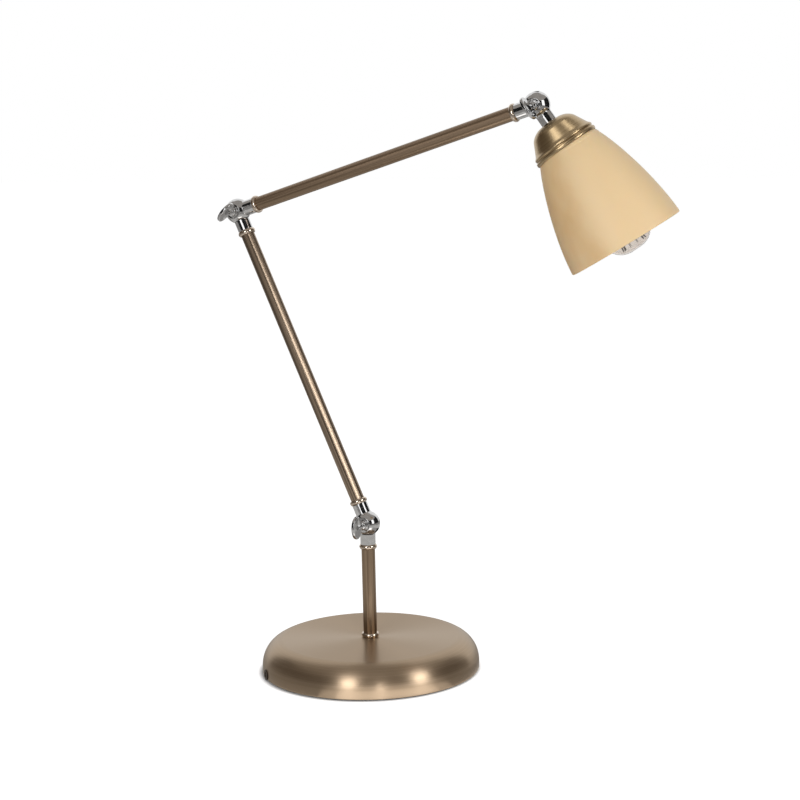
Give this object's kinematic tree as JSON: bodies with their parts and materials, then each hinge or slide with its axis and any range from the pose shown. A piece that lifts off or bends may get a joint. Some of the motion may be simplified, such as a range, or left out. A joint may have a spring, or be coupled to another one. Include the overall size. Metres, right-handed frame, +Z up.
{
  "type": "desk lamp",
  "caption": "Desk lamp with a round weighted base, jointed swing arms with wing-screw knuckles, and a bell-shaped glass shade under a spun brass cap.",
  "frame": {"origin": "middle of the felt foot, on the floor", "axes": "+Z up, +X towards the shade in the plane of the arms, the wing screws on the -Y side"},
  "size_m": [0.4265, 0.2, 0.5219],
  "materials": {
    "aged_brass": "brushed, brown antique tone, lacquered",
    "cap_brass": "spun, satin, antique tone",
    "ring_brass": "polished, dark antique tone",
    "chrome": "polished",
    "steel": "zinc plated",
    "iron": "rough cast",
    "felt": "grey felt",
    "black_plastic": "moulded, matt",
    "porcelain": "glazed porcelain",
    "amber_glass": "satin, amber and cream",
    "bulb_glass": "clear, slightly smoky",
    "bulb_metal": "satin",
    "filament": "dark wire on a glass post"
  },
  "bodies": {
    "base": {"base_cover": "aged_brass", "base_weight": "iron", "base_felt": "felt", "cord_bushing": "black_plastic", "base_rod": "steel", "base_washer": "steel", "base_nut": "steel", "stem_foot_ring": "ring_brass", "stem_tube": "aged_brass", "stem_top_ring": "ring_brass", "stem_knuckle": "chrome"},
    "lower_arm": {"lower_arm_ball": "chrome", "lower_knuckle_washer": "chrome", "lower_knuckle_nut": "steel", "lower_arm_bottom_ring": "ring_brass", "lower_arm_tube": "aged_brass", "lower_arm_top_ring": "ring_brass", "lower_arm_knuckle": "chrome"},
    "upper_arm": {"upper_arm_ball": "chrome", "elbow_knuckle_washer": "chrome", "elbow_knuckle_nut": "steel", "upper_arm_inner_ring": "ring_brass", "upper_arm_tube": "aged_brass", "upper_arm_outer_ring": "ring_brass", "upper_arm_knuckle": "chrome"},
    "head": {"head_ball": "chrome", "head_knuckle_washer": "chrome", "head_knuckle_nut": "steel", "shade_cap": "cap_brass", "cap_nut": "steel", "holder_cap": "black_plastic", "holder_body": "black_plastic", "holder_core": "porcelain", "shade_ring": "black_plastic", "glass_shade": "amber_glass", "bulb_glass": "bulb_glass", "bulb_cap": "bulb_metal", "bulb_filament": "filament"},
    "lower_wing": {"lower_wing_screw": "chrome"},
    "elbow_wing": {"elbow_wing_screw": "chrome"},
    "head_wing": {"head_wing_screw": "chrome"}
  },
  "joints": [
    {"name": "lower_arm_tilt", "type": "hinge", "parent": "base", "child": "lower_arm", "pos_m": [0, 0, 0.1367], "axis": [0, -1, 0], "range_deg": [-49, 76]},
    {"name": "elbow", "type": "hinge", "parent": "lower_arm", "child": "upper_arm", "pos_m": [-0.12649, 0, 0.42081], "axis": [0, 1, 0], "range_deg": [-122, 2.75]},
    {"name": "head_tilt", "type": "hinge", "parent": "upper_arm", "child": "head", "pos_m": [0.17131, 0, 0.51044], "axis": [-0.0401, 0.9903, 0.1333], "range_deg": [-99, 25]},
    {"name": "lower_wing_turn", "type": "hinge", "parent": "lower_arm", "child": "lower_wing", "pos_m": [0, 0, 0.1367], "axis": [0, -1, 0], "range_deg": [0, 180]},
    {"name": "elbow_wing_turn", "type": "hinge", "parent": "upper_arm", "child": "elbow_wing", "pos_m": [-0.12649, 0, 0.42081], "axis": [0, -1, 0], "range_deg": [0, 180]},
    {"name": "head_wing_turn", "type": "hinge", "parent": "head", "child": "head_wing", "pos_m": [0.17131, 0, 0.51044], "axis": [0.0401, -0.9903, -0.1333], "range_deg": [0, 180]}
  ]
}
